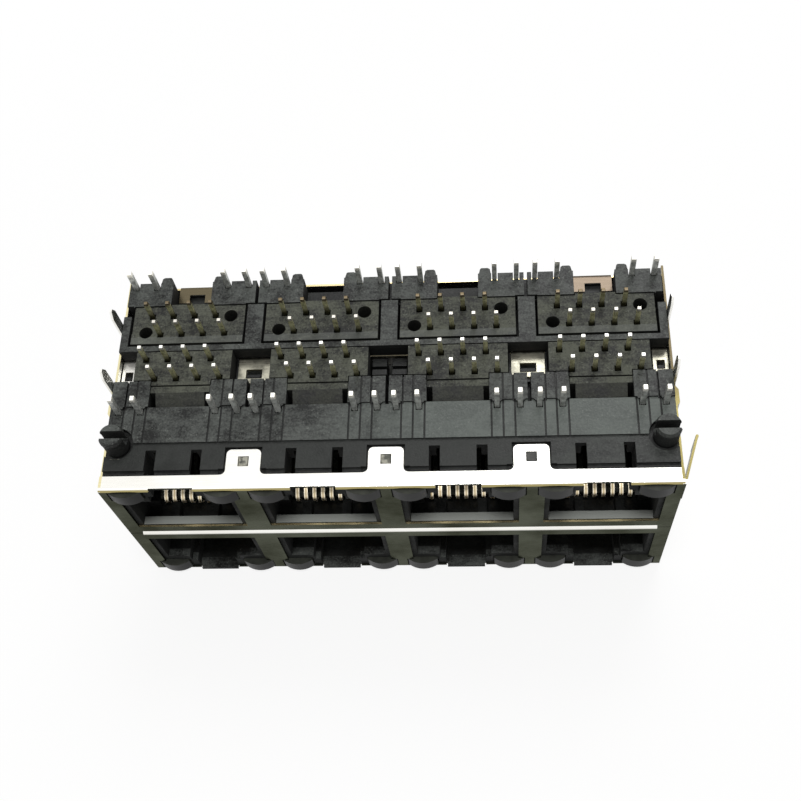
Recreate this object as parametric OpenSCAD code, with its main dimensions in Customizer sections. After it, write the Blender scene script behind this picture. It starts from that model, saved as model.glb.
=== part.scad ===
// Stacked RJ45 board jack: four columns of two ports, with a lamp in each tab-side corner of every port.
// The jack lies on its cover, so +Z points to the circuit board side, where all pins come out.
// X runs along the columns. Lengths called "from the front" run along +Y from the shield's front face.

/* [Port grid] */
// Distance between the centres of neighbouring port columns
port_pitch = 15.875; // [15.7:0.025:16.2]
// Width of the shield outside each end of the port grid
end_margin = 0.25; // [0.25:0.05:1]
// Height of the shield, from the cover to the board flange
shell_h = 25.2; // [25:0.1:26.4]
// Depth of the shield, from the front face to the back face
shell_d = 27.9; // [27.8:0.1:29]
// Thickness of every shield sheet
sheet_t = 0.25; // [0.2:0.01:0.28]
// Gap between parts that are assembled into each other
fit_gap = 0.1; // [0.05:0.01:0.12]

/* [Plug cavity] */
// Width of a plug cavity
cavity_w = 11.9; // [11.7:0.05:12.2]
// Height of a plug cavity, from its belly floor to its tab-side shelf
cavity_h = 6.85; // [6.6:0.05:7]
// Depth of a plug cavity, from the front
cavity_d = 11.2; // [10.8:0.1:11.6]
// Distance between the belly floors of the two rows
belly_gap = 4.1; // [4.1:0.05:4.3]
// Width of the upper step of the latch notch
shoulder_w = 6.4; // [6.2:0.05:6.5]
// Height of the upper step of the latch notch
shoulder_h = 1.4; // [1.2:0.1:1.6]
// Width of the latch notch
latch_w = 5; // [4.6:0.1:5.4]
// Depth of the latch notch, from the front
latch_d = 9.5; // [8.5:0.1:10.4]
// Distance from the shield's outside to the floor of the latch notch
latch_floor = 0.45; // [0.4:0.05:0.6]
// Depth of the flat mouth in front of the recess in the belly floor
mouth_d = 1.3; // [1.1:0.1:1.6]
// Half of the distance between the two ribs in that recess
rib_x = 2.35; // [2.2:0.05:2.5]
// Width of those ribs
rib_w = 1.05; // [0.9:0.05:1.2]

/* [Front face] */
// Width of a port cut-out in the shield
face_cut_w = 13.1; // [12.8:0.1:13.4]
// Distance from the middle of the shield to a port cut-out
face_cut_start = 1.95; // [1.8:0.05:2]
// Height of the rolled bar between the rows
roll_h = 1.05; // [1:0.05:1.4]
// Distance from the shield's side to the end of the rolled bar
roll_inset = 1.6; // [1.3:0.1:2]
// Outer radius of the shield's folds
fold_r = 0.4; // [0.35:0.05:0.6]
// Outer radius of the bend in a sheet hook
hook_r = 0.6; // [0.5:0.05:0.7]

/* [Board flange] */
// Depth of the flange, from the front
flange_d = 1.83; // [1.6:0.01:1.9]
// Width of a flange tab
tab_w = 3.9; // [3.4:0.1:4.2]
// Reach of a flange tab, from the front
tab_reach = 4.88; // [4.5:0.01:5.2]
// Radius of a flange tab's corners and roots
tab_r = 0.6; // [0.4:0.05:0.8]
// Side of the square window in a flange tab
tab_window = 1.2; // [1:0.05:1.4]
// Distance of the tab window's centre from the front
tab_window_y = 3.42; // [3.3:0.01:3.6]

/* [Board side of the housing] */
// Height of the board seat above the shield's flange
seat_rise = 0.8; // [0.7:0.05:1]
// Height of the rear panel above the flange
panel_rise = 0.55; // [0.5:0.05:0.6]
// Height of the front deck above the flange
deck_rise = 0.3; // [0.2:0.05:0.4]
// Distance of the front deck's lip from the front
lip_y = 2.34; // [2.2:0.01:2.5]
// Distance of the step up to the panel from the front
step_y = 5.63; // [5.4:0.01:5.8]
// Distance of the panel's back edge from the front
panel_y = 10.1; // [10:0.01:10.4]
// Distance of the front blocks' centre part from the front
block_y = 12.8; // [12.7:0.01:12.9]
// Distance of the front blocks' outer parts from the front
block_side_y = 13.5; // [13.4:0.01:13.6]
// Width of the bars between the rear inserts
bar_w = 1.95; // [1.7:0.05:2.1]
// Depth of the cross bar behind the front blocks
cross_bar_d = 0.7; // [0.65:0.01:0.8]
// Distance of the rear blocks' front from the front
wing_y = 23.7; // [23.6:0.01:23.9]
// Gap round the rear inserts
block_gap = 0.3; // [0.25:0.01:0.35]
// Distance of the end walls' back end from the front
end_wall_y = 22.2; // [21.8:0.1:22.6]
// Width of the gap between the two rear blocks of a column
wing_gap = 4.8; // [4.6:0.1:5]
// Half of the distance between the slots over a port's latch notch
slot_x = 2.6; // [2.5:0.05:2.7]
// Width of those slots
slot_w = 1.2; // [1.1:0.05:1.3]
// Distance of the slots' back end from the front
slot_back_y = 4.8; // [4.5:0.01:5]
// Distance of the crease in a front insert's shoulder from the front
crease_y = 11.85; // [11.7:0.05:12]
// Width of the sloping part of that shoulder
slope_w = 5.7; // [5.5:0.1:6]

/* [Contacts] */
// Distance between neighbouring contacts in a port
contact_pitch = 1.016; // [1:0.001:1.03]
// Width of a contact spring
contact_w = 0.45; // [0.4:0.01:0.5]
// Thickness of a contact spring
contact_t = 0.25; // [0.2:0.01:0.25]
// Distance between the board pins in one row
pin_pitch = 2.54; // [2.5:0.01:2.56]
// Width of a board pin
pin_side = 0.5; // [0.45:0.01:0.55]
// Thickness of a board pin
pin_t = 0.36; // [0.3:0.01:0.4]
// Side of the square hole round a board pin
pin_hole = 0.72; // [0.65:0.01:0.75]
// Length of the pins above the board seat
pin_reach = 3; // [2.8:0.1:3.6]
// Distance of the first rear-most row of front pins from the front
row_a_y = 16.2; // [16.15:0.01:16.25]
// Distance between that row and the front row of rear pins
row_step = 3.4; // [3.4:0.01:3.6]
// Distance of the contact folds from the front
fold_y = 3.2; // [3.1:0.05:3.4]
// Inner radius of a contact's fold
bend_r = 0.75; // [0.65:0.05:0.8]
// Slope of a contact spring in degrees
spring_slope = 21; // [19:0.5:23]
// Thickness of the tongue that carries the contacts
tongue_t = 1; // [0.95:0.01:1]

/* [Lamps] */
// Distance of a lamp's centre from its port's centre
led_x = 5.4; // [5.35:0.01:5.45]
// Width of a lamp
led_w = 3.7; // [3.6:0.05:3.7]
// Height of a lamp
led_h = 2.05; // [1.9:0.05:2.1]
// Depth of a lamp behind the front face
led_d = 4.1; // [3.8:0.1:4.4]
// Height of a lamp's rounded front ahead of the front face
led_bulge = 0.57; // [0.4:0.01:0.7]
// Distance from the shield's outside to a lamp
led_inset = 0.55; // [0.5:0.01:0.6]
// Distance of the pair of lamp leads from the port's centre
lead_x = 5.6; // [5.55:0.01:5.65]
// Side of a square lamp lead
lead_side = 0.55; // [0.5:0.01:0.6]
// Distance of the front lamp leads from the front
front_lead_y = 9.48; // [9.4:0.01:9.55]
// Distance of the rear lamp leads from the front
rear_lead_y = 26.2; // [26.15:0.01:26.3]

/* [Board locks] */
// Distance of each locating peg from the shield's side
peg_inset = 1.57; // [1.55:0.01:1.7]
// Distance of the pegs from the front
peg_y = 5.6; // [5.5:0.01:5.7]
// Radius of a peg's shaft
peg_r = 1.4; // [1.3:0.05:1.45]
// Radius of a peg's barb
barb_r = 1.46; // [1.45:0.01:1.55]
// Height of a peg above the board seat
peg_h = 2.05; // [2:0.05:2.4]
// Radius of the recess round a peg
peg_ring_r = 1.9; // [1.8:0.05:2]
// Width of the slot that splits a peg
peg_slot = 0.9; // [0.8:0.05:1]
// Width of a ground blade on the shield's side
blade_w = 1.3; // [1.1:0.1:1.5]
// Reach of a ground blade above the board seat
blade_reach = 3.95; // [3.6:0.05:4.2]
// Distances of the ground blades from the front
blade_ys = [12.7, 20.6];
// Distance of the pressed boss on each side from the front
boss_y = 10.6; // [10:0.1:10.8]
// Height of that boss above the side
boss_rise = 0.3; // [0.2:0.05:0.4]

/* [Hidden] */
COLUMNS = 4;
PINS = 8;
over = 0.5;
$fn = 48;

shell_w = COLUMNS * port_pitch + 2 * end_margin;
mid_z = shell_h / 2;
front_y = -shell_d / 2;
seat_z = shell_h + seat_rise;
panel_z = shell_h + panel_rise;
deck_z = shell_h + deck_rise;
flange_z = shell_h - sheet_t;
tip_z = seat_z + pin_reach;

// The housing stands clear of the shield by half a fit gap.
skin = sheet_t + fit_gap / 2;
house_w = shell_w - 2 * skin;
inner_half = shell_w / 2 - sheet_t;

// Heights in the board-side row. The cover-side row mirrors them about the middle.
belly_z = mid_z + belly_gap / 2;
shelf_z = belly_z + cavity_h;
notch_z = shelf_z + shoulder_h;
latch_z = shell_h - latch_floor;
led_top = shell_h - led_inset;
led_base = led_top - led_h;
led_mid = (led_top + led_base) / 2;
tongue_z = belly_z - 0.05 - tongue_t;
strip_z = tongue_z - contact_t;
pocket_z = strip_z - fit_gap / 2;

// Back rows of board pins: row A for the board-side ports, row D for the cover-side ports.
row_d_y = row_a_y + row_step + pin_pitch;

// The inner shield's upright sheet stands behind the front inserts, below the cross bar.
block_back_y = 17.25;
upright_y = block_back_y + 0.15;
upright_back_y = upright_y + sheet_t;
cross_bar_y = upright_y - 0.02;
insert_y = cross_bar_y + cross_bar_d + block_gap;
insert_back_y = wing_y - 2 * fit_gap;
insert_heel_y = insert_back_y + 0.3;
hook_z = shell_h - 1.3;
hook_y = block_side_y + 0.5;
hook_w = 3.8;
end_hook_w = 1.7;
hook_gap = 0.15;
hook_window_y = hook_y + 1.8;
hook_window_d = 1.2;
hook_window_w = 1.9;
back_hook_d = 2.5;
back_hook_window_y = 1.35;
upright_top = hook_z - hook_r;
back_top = upright_top - 0.15;
wing_back_y = shell_d - sheet_t - 0.8;
wing_peak_y = shell_d - sheet_t - fit_gap / 2;

insert_step_y = insert_y + 1.37;

insert_w = 11.3;
rear_insert_w = port_pitch - bar_w - 2 * block_gap;
tongue_w = 8.8;
window_w = 7;
pin_span = (PINS - 1) * pin_pitch / 2 + pin_side;
led_cut_w = 2 * (led_x + led_w / 2) + 2 * fit_gap;
lead_gap = lead_side / 2 + fit_gap;
lead_half_pitch = 1.27;
lead_block_w = 1.44;

// Bay between the middle columns: its width, the front and back of its ledges, and their tops.
bay_w = port_pitch - insert_w - 2 * fit_gap + 0.02;
bay_ledges = [[14.65, 15.35], [15.75, 16.75]];
bay_ledge_z = seat_z - 2;
bay_floor_z = seat_z - 4.5;

tip_taper = 0.25;
nose_r = tongue_t / 2;
bend_y = fold_y + contact_t + bend_r;
bend_z = tongue_z + bend_r;
spring_end_y = cavity_d + 0.4;

function column_x(column) = (column - (COLUMNS + 1) / 2) * port_pitch;
function seam_x(seam) = (seam - COLUMNS / 2) * port_pitch;
function pin_x(i) = (i - (PINS - 1) / 2) * pin_pitch / 2;
function track_x(i) = (i - (PINS - 1) / 2) * contact_pitch;
function pin_row_y(i, back_row_y) = back_row_y - pin_pitch * (i % 2);

// A box between two opposite corners.
module box(low, high) translate(low) cube(high - low);

// A box that is centred on x.
module slab(x, width, y0, y1, z0, z1) box([x - width / 2, y0, z0], [x + width / 2, y1, z1]);

// An outline in Y and Z, swept along X and centred on x.
module sweep_x(x, width) {
    translate([x - width / 2, 0, 0])
        rotate([90, 0, 90]) linear_extrude(width) children();
}

// A cover-side row is the board-side row mirrored about the middle height.
module in_row(row) {
    if (row == "board") children();
    else translate([0, 0, shell_h]) mirror([0, 0, 1]) children();
}

module each_column() for (column = [1:COLUMNS]) translate([column_x(column), 0, 0]) children();
module each_side() for (side = [-1, 1]) scale_x(side) children();
module scale_x(side) mirror([side < 0 ? 1 : 0, 0, 0]) children();

// ---- Shield sheets ----

// Cut-out of one port in the front face: the plug mouth, the lamp corners and the latch notch.
module face_cut() {
    slab(0, face_cut_w, -over, over, mid_z + face_cut_start, led_top);
    slab(0, led_cut_w, -over, over, led_base - fit_gap, led_top + fit_gap);
    slab(0, latch_w, -over, sheet_t + 0.05, led_base, shell_h + over);
}

// Half of the front face with its fold, in Y and Z, from the middle up to the flange.
module face_profile(reach) {
    square_from([0, mid_z], [sheet_t, shell_h - fold_r]);
    square_from([fold_r, flange_z], [reach, shell_h]);
    intersection() {
        translate([fold_r, shell_h - fold_r]) difference() {
            circle(fold_r);
            circle(fold_r - sheet_t);
        }
        square_from([0, shell_h - fold_r], [fold_r, shell_h]);
    }
}

module square_from(low, high) translate(low) square(high - low);

// Half of the front face: sheet, port cut-outs and the notch in which the rolled bar lies.
module face_half(reach) {
    difference() {
        sweep_x(0, shell_w) face_profile(reach);
        each_column() face_cut();
        slab(0, shell_w - 2 * roll_inset, -over, over, mid_z - over, mid_z + roll_h / 2 + 0.03);
        slab(0, shell_w + over, -over, over, mid_z - over, mid_z + 0.06);
    }
}

// Outline of a flange tab with filleted roots, lying in X and Y.
module tab_outline() {
    half = tab_w / 2;
    difference() {
        union() {
            square_from([-half, flange_d - over], [half, tab_reach - tab_r]);
            square_from([tab_r - half, tab_reach - over - tab_r], [half - tab_r, tab_reach]);
            for (side = [-1, 1]) translate([side * (half - tab_r), tab_reach - tab_r]) circle(tab_r);
            for (side = [-1, 1]) tab_root(side);
        }
        translate([-tab_window / 2, tab_window_y - tab_window / 2]) square(tab_window);
    }
}

module tab_root(side) {
    mirror([side < 0 ? 1 : 0, 0]) difference() {
        translate([tab_w / 2 - 0.01, flange_d - 0.01]) square(tab_r);
        translate([tab_w / 2 + tab_r, flange_d + tab_r]) circle(tab_r);
    }
}

// Spring finger that touches the panel cut-out, bent out from the front fold on one side.
module side_finger() {
    finger_h = 4;
    finger_reach = 5.75;
    finger_tilt = 17.5;
    translate([shell_w / 2 - sheet_t, 0, shell_h - sheet_t - finger_h]) {
        cube([sheet_t + 0.1, 0.6, finger_h]);
        translate([sheet_t * 0.6, 0.2, 0]) rotate([0, 0, -finger_tilt]) {
            cube([sheet_t, finger_reach, finger_h]);
            translate([sheet_t / 2, finger_reach, 0]) cylinder(d = sheet_t * 1.3, h = finger_h);
        }
    }
}

module front_shield() {
    color("gainsboro") {
        face_half(flange_d);
        for (seam = [1:COLUMNS - 1]) translate([seam_x(seam), 0, flange_z])
            linear_extrude(sheet_t) tab_outline();
        each_side() box([inner_half, 0, mid_z + 0.06], [shell_w / 2, step_y, flange_z + 0.01]);
        side_finger();
    }
}

// Cover and side walls as one bent sheet, in X and Z.
module wrap_outline() {
    half = shell_w / 2;
    difference() {
        union() {
            square_from([-half, fold_r], [half, flange_z]);
            square_from([fold_r - half, 0], [half - fold_r, fold_r]);
            for (side = [-1, 1]) translate([side * (half - fold_r), fold_r]) circle(fold_r);
        }
        square_from([-inner_half, fold_r], [inner_half, flange_z + over]);
        square_from([fold_r - half, sheet_t], [half - fold_r, fold_r + over]);
        for (side = [-1, 1]) translate([side * (half - fold_r), fold_r]) circle(fold_r - sheet_t);
    }
}

// Ground blade with a tapered tip, standing on the side wall.
module blade(y) {
    root = 1;
    taper = 1;
    tip_share = 0.3;
    top_z = seat_z + blade_reach;
    half = blade_w / 2;
    sweep_x(inner_half + sheet_t / 2, sheet_t) polygon([
        [y - half, flange_z - root], [y + half, flange_z - root], [y + half, top_z - taper],
        [y + half * tip_share, top_z], [y - half * tip_share, top_z], [y - half, top_z - taper]
    ]);
}

// Boss pressed outward in the side wall, with sloping ends.
module side_boss() {
    half = 1.4;
    slope = 0.6;
    boss_h = 3;
    side_x = shell_w / 2;
    translate([0, boss_y, flange_z - boss_h]) linear_extrude(boss_h) polygon([
        [side_x - 0.1, -half], [side_x + boss_rise, slope - half], [side_x + boss_rise, half - slope],
        [side_x - 0.1, half]
    ]);
}

// A sheet hook that lies over a housing nub through its window. Its upright stands at y, and its tab
// reaches forward to tab_y at the height top_z.
module hook(x, width, y, tab_y, top_z, window_y, window_w) {
    bend_y = y + sheet_t - hook_r;
    difference() {
        sweep_x(x, width) {
            square_from([y, top_z - hook_r - over], [y + sheet_t, top_z - hook_r]);
            square_from([tab_y, top_z - sheet_t], [bend_y, top_z]);
            translate([bend_y, top_z - hook_r]) intersection() {
                difference() {
                    circle(hook_r);
                    circle(hook_r - sheet_t);
                }
                square(hook_r);
            }
        }
        slab(x, window_w, window_y - hook_window_d, window_y, top_z - over, top_z + over);
    }
}

module cover_shield() {
    color("silver") {
        in_row("cover") face_half(fold_r + over);
        difference() {
            translate([0, shell_d, 0]) rotate([90, 0, 0]) linear_extrude(shell_d - fold_r) wrap_outline();
            slab(0, shell_w + over, -over, step_y + 0.12, mid_z - 0.06, shell_h + over);
            slab(0, shell_w - 2 * fold_r, shell_d - sheet_t, shell_d + over, -over, shell_h);
        }
        each_side() box([inner_half, 0, fold_r], [shell_w / 2, fold_r + over, mid_z - 0.06]);
        slab(0, shell_w - 2 * fold_r, shell_d - sheet_t, shell_d, 0, back_top);
        each_side() {
            for (y = blade_ys) blade(y);
            side_boss();
        }
        for (column = [1, COLUMNS])
            hook(column_x(column), wing_gap - 2 * hook_gap, shell_d - sheet_t, shell_d - back_hook_d,
                back_top + hook_r - 0.05, shell_d - back_hook_window_y, hook_window_w);
    }
}

// Sheet between the rows: its front edge is rolled, its back stands up behind the front inserts.
module inner_shield() {
    half = inner_half - fit_gap;
    roll_w = shell_w - 2 * roll_inset - 0.1;
    color("lightgray") {
        slab(0, 2 * half, roll_h, upright_back_y, mid_z - sheet_t / 2, mid_z + sheet_t / 2);
        slab(0, 2 * half, upright_y, upright_back_y, mid_z - sheet_t / 2, upright_top);
        sweep_x(0, roll_w) translate([0.3, mid_z]) difference() {
            circle(roll_h / 2);
            circle(roll_h / 2 - sheet_t);
            square_from([0, sheet_t / 2], [roll_h, sheet_t]);
        }
        slab(0, roll_w, roll_h / 2, roll_h, mid_z - sheet_t / 2, mid_z + sheet_t / 2);
        for (seam = [1, COLUMNS - 1])
            hook(seam_x(seam), hook_w, upright_y, hook_y, hook_z, hook_window_y, hook_window_w);
        each_side() hook(half - end_hook_w / 2, end_hook_w, upright_y, hook_y, hook_z, hook_window_y,
            hook_window_w / 2);
    }
}

// ---- Moulded inserts ----

// Solid of a board-side insert around x = 0, grown by a gap for its pocket in the housing.
module board_insert_solid(gap) {
    low = pocket_z + fit_gap / 2;
    slab(0, insert_w + 2 * gap, block_side_y - gap, block_back_y + gap, low, seat_z);
    slab(0, window_w - 0.1 + 2 * gap, block_y - gap, block_side_y, low, seat_z);
    slab(0, insert_w + 2 * gap, cavity_d, block_side_y, low, shelf_z - 0.1);
    shoulder();
    tongue_solid(gap);
}

// Shoulder in front of a board-side block. It closes the window above the cavity's back: a flat band as
// wide as the window, then a narrower slope down to the front.
module shoulder() {
    front = panel_y + 0.2;
    band_z = seat_z - 0.05;
    groove_z = seat_z - 0.7;
    slab(0, window_w - fit_gap, crease_y, block_y - 0.15, shelf_z, band_z);
    slab(0, window_w - fit_gap, crease_y, block_y + over, shelf_z, groove_z);
    sweep_x(0, slope_w) polygon([
        [front, shelf_z], [crease_y + over, shelf_z], [crease_y + over, band_z], [crease_y, band_z],
        [front, panel_z - 0.65]
    ]);
}

// Tongue that carries the contacts along the belly, with a round nose and two rails below it.
module tongue_solid(gap) {
    slab(0, tongue_w + 2 * gap, bend_y, cavity_d + over, tongue_z, tongue_z + tongue_t);
    sweep_x(0, tongue_w + 2 * gap) translate([bend_y, tongue_z + nose_r]) circle(nose_r);
}

// Holes for the pins that rise through an insert.
module pin_holes(back_row_y, low) {
    half = pin_hole / 2;
    for (i = [0:PINS - 1]) translate([pin_x(i), pin_row_y(i, back_row_y), 0])
        slab(0, 2 * half, -half, half, low, seat_z + over);
}

// Slots of the comb that guides the spring ends.
module comb_slots() {
    depth = 0.9;
    low = belly_z + 1.2;
    high = shelf_z - 0.8;
    for (i = [0:PINS - 1])
        slab(track_x(i), contact_w + 2 * fit_gap, cavity_d - over, cavity_d + depth, low, high);
}

module board_insert(column) {
    color("#33352f") translate([column_x(column), 0, 0]) difference() {
        board_insert_solid(0);
        slab(0, pin_span + fit_gap, cavity_d - 0.01, row_a_y + pin_side, pocket_z, tongue_z);
        pin_holes(row_a_y, pocket_z);
        comb_slots();
    }
}

// Solid of a cover-side insert: a tall block behind the inner shield and a tongue below it.
module cover_insert_solid(gap) {
    heel_w = wing_gap - 0.2;
    slab(0, rear_insert_w + 2 * gap, insert_y - gap, insert_back_y + gap, shell_h - shelf_z + 0.1, seat_z);
    slab(0, heel_w + 2 * gap, insert_back_y, insert_heel_y + gap, shell_h - shelf_z + 0.1, seat_z);
    slab(0, insert_w + 2 * gap, cavity_d, insert_y, shell_h - shelf_z + 0.1, shell_h - tongue_z);
    in_row("cover") tongue_solid(gap);
}

module cover_insert(column) {
    hole_r = 0.8;
    hole_x = 5;
    hole_depth = 3;
    step = 0.12;
    color("#2d2f2b") translate([column_x(column), 0, 0]) difference() {
        cover_insert_solid(0);
        slab(0, pin_span + fit_gap, insert_y - 0.01, row_d_y + pin_side, shell_h - tongue_z,
            shell_h - pocket_z);
        pin_holes(row_d_y, shell_h - tongue_z);
        in_row("cover") comb_slots();
        slab(0, rear_insert_w + over, insert_step_y, shell_d, seat_z - step, seat_z + over);
        translate([-hole_x, insert_step_y + 0.2, seat_z - hole_depth])
            cylinder(r = hole_r, h = hole_depth + over);
        translate([hole_x, row_d_y - 0.1, seat_z - hole_depth]) cylinder(r = hole_r, h = hole_depth + over);
    }
}

// ---- Contacts ----

// Fold round the tongue's nose and the sloping spring, in Y and Z.
module spring_profile() {
    spring_l = (spring_end_y - bend_y) / cos(spring_slope);
    translate([bend_y, bend_z]) {
        difference() {
            circle(bend_r + contact_t);
            circle(bend_r);
            polygon([[0, -2], [0, 0], [-2 * sin(spring_slope), 2 * cos(spring_slope)], [2, 2], [2, -2]]);
        }
        rotate(spring_slope) translate([0, bend_r]) square([spring_l, contact_t]);
    }
}

// A flat strip from a board pin to the contact's own track, in X and Y.
module strip_outline(x0, y0, x1) {
    y1 = cavity_d;
    half = contact_w / 2;
    polygon([
        [x0 - pin_side / 2, y0], [x0 + pin_side / 2, y0], [x1 + half, y1], [x1 + half, bend_y],
        [x1 - half, bend_y], [x1 - half, y1]
    ]);
}

// A straight pin with a blunt tip, standing at the origin.
module pin(width, thickness, low, high) {
    half = width / 2;
    tip = half - 0.06;
    taper_z = high - tip_taper;
    translate([0, thickness / 2, 0]) rotate([90, 0, 0]) linear_extrude(thickness) polygon([
        [-half, low], [half, low], [half, taper_z], [tip, high], [-tip, high], [-half, taper_z]
    ]);
}

// Eight contacts of one port. Their pins stand in two staggered rows.
module contacts(row, column, back_row_y) {
    flat_z = row == "board" ? strip_z : shell_h - tongue_z;
    color("#b58b35") translate([column_x(column), 0, 0]) for (i = [0:PINS - 1]) {
        y = pin_row_y(i, back_row_y);
        translate([pin_x(i), y, 0]) pin(pin_side, pin_t, flat_z, tip_z);
        translate([0, 0, flat_z]) linear_extrude(contact_t) strip_outline(pin_x(i), y, track_x(i));
        in_row(row) sweep_x(track_x(i), contact_w) spring_profile();
    }
}

// ---- Lamps ----

// Outline of a lamp from above: straight sides, square back and a rounded front.
module lamp_outline() {
    side_y = 0.05;
    sagitta = led_bulge + side_y;
    front_r = (pow(led_w / 2, 2) + pow(sagitta, 2)) / (2 * sagitta);
    intersection() {
        square_from([-led_w / 2, -led_bulge - over], [led_w / 2, led_d]);
        union() {
            translate([0, front_r - led_bulge]) circle(front_r, $fn = 96);
            square_from([-led_w / 2, side_y], [led_w / 2, led_d]);
        }
    }
}

module lamp(row, column, side) {
    color("#5b5f5a") translate([column_x(column), 0, 0]) scale_x(side) in_row(row)
        translate([led_x, 0, led_base]) linear_extrude(led_h) lamp_outline();
}

// Two leads of one lamp: straight back from the lamp, then up to the board.
module leads(row, column, side) {
    mid = row == "board" ? led_mid : shell_h - led_mid;
    y = row == "board" ? front_lead_y : rear_lead_y;
    color("#c9cac6") translate([column_x(column), 0, 0]) scale_x(side)
        for (offset = [-lead_half_pitch, lead_half_pitch]) translate([lead_x + offset, 0, 0]) {
            slab(0, lead_side, led_d, y + lead_side / 2, mid - lead_side / 2, mid + lead_side / 2);
            translate([0, y, 0]) pin(lead_side, lead_side, mid - lead_side / 2, tip_z + 0.27);
        }
}

// ---- Housing ----

// Stepped outline of the housing in Y and Z.
module housing_outline() {
    floor_z = hook_z - sheet_t - fit_gap / 2;
    polygon([
        [skin, skin], [skin, flange_z - fit_gap / 2], [flange_d + 0.1, flange_z - fit_gap / 2],
        [flange_d + 0.1, shell_h - 0.05], [lip_y, shell_h - 0.05], [lip_y, deck_z], [step_y, deck_z],
        [step_y, panel_z], [panel_y, panel_z], [panel_y, seat_z], [block_side_y - fit_gap, seat_z],
        [block_side_y - fit_gap, floor_z], [cross_bar_y, floor_z], [cross_bar_y, seat_z],
        [wing_back_y, seat_z], [wing_back_y, skin]
    ]);
}

// Locating peg with a barbed head, split by a slot along X.
module peg() {
    root_r = peg_inset - skin;
    root_z = flange_z + 0.05;
    top_z = seat_z + peg_h;
    barb_z = top_z - 0.9;
    difference() {
        rotate_extrude() polygon([
            [0, root_z - 1], [root_r, root_z - 1], [root_r, root_z], [peg_r, root_z], [peg_r, barb_z],
            [barb_r, barb_z + 0.3], [barb_r, barb_z + 0.45], [peg_r - 0.13, top_z], [0, top_z]
        ]);
        slab(0, 2 * barb_r + over, -peg_slot / 2, peg_slot / 2, seat_z + 0.2, top_z + over);
    }
}

// Plug cavity with its stepped latch notch, the lamp pockets and the contact recess.
module port_cut() {
    slab(0, cavity_w, -over, cavity_d, belly_z, shelf_z);
    slab(0, shoulder_w, -over, latch_d, shelf_z - 0.01, notch_z);
    slab(0, latch_w, -over, latch_d, notch_z - 0.01, latch_z);
    slab(0, tongue_w + 2 * fit_gap, fold_y - 0.1, cavity_d + over, pocket_z, belly_z + 0.01);
    difference() {
        slab(0, cavity_w, mouth_d, fold_y, pocket_z, belly_z + 0.01);
        each_side() slab(rib_x, rib_w, mouth_d - over, fold_y - 0.1, pocket_z - over, belly_z + over);
    }
    each_side() {
        slab(led_x, led_w + 2 * fit_gap, -over, led_d + fit_gap, led_base - fit_gap, led_top + fit_gap);
        for (offset = [-lead_half_pitch, lead_half_pitch])
            slab(lead_x + offset, 2 * lead_gap, led_d, front_lead_y, led_mid - lead_gap, led_mid + lead_gap);
    }
}

// Cuts that only the board-side row has: pocket, window, slots and the shafts of the lamp leads.
module board_row_cut() {
    board_insert_solid(fit_gap);
    slab(0, insert_w + 2 * fit_gap, cavity_d - 0.01, block_back_y + fit_gap, pocket_z, tongue_z + 0.01);
    slab(0, window_w, panel_y, block_y, shelf_z, seat_z + over);
    each_side() {
        slab(slot_x, slot_w, flange_d, slot_back_y, notch_z - 0.01, seat_z + over);
        for (offset = [-lead_half_pitch, lead_half_pitch])
            slab(lead_x + offset, 2 * lead_gap, front_lead_y - lead_gap, front_lead_y + lead_gap,
                led_mid - lead_gap, seat_z + over);
    }
}

// Cuts that only the cover-side row has: pocket, rear channels and channels along the cover.
module cover_row_cut() {
    cover_insert_solid(fit_gap);
    slab(0, rear_insert_w + 2 * block_gap, insert_y - block_gap, insert_back_y, seat_z - 3, seat_z + over);
    slab(0, insert_w + 2 * fit_gap, cavity_d - 0.01, insert_y, shell_h - tongue_z - 0.01, shell_h - pocket_z);
    each_side() for (offset = [-lead_half_pitch, lead_half_pitch]) {
        slab(lead_x + offset, 2 * lead_gap, led_d, rear_lead_y + lead_gap, 0, shell_h - led_mid + lead_gap);
        slab(lead_x + offset, 2 * lead_gap, rear_lead_y - lead_gap, shell_d, 0, seat_z + over);
    }
}

// Blocks beside the front lamp leads: each ends in a blunt point against its lead.
module lead_block(x) {
    half = lead_block_w / 2;
    blunt = 0.3;
    tip_y = front_lead_y + lead_side / 2;
    translate([x, 0, panel_z - over]) linear_extrude(seat_z - panel_z + over) polygon([
        [-half, panel_y + over], [half, panel_y + over], [half, tip_y + half - blunt], [blunt, tip_y],
        [-blunt, tip_y], [-half, tip_y + half - blunt]
    ]);
}

// Rounded peak beside the rear gap, between the first rear lead and the gap.
module rear_peak() {
    x0 = wing_gap / 2;
    x1 = lead_x - lead_half_pitch - lead_gap;
    translate([0, 0, skin]) linear_extrude(seat_z - skin) polygon([
        [x0, wing_back_y - 0.5], [x0 + 0.25, wing_peak_y - 0.15], [x0 + 0.4, wing_peak_y],
        [x1 - 0.4, wing_peak_y], [x1 - 0.15, wing_peak_y - 0.15], [x1, wing_back_y - 0.3],
        [x1, wing_back_y - 0.5]
    ]);
}

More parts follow.
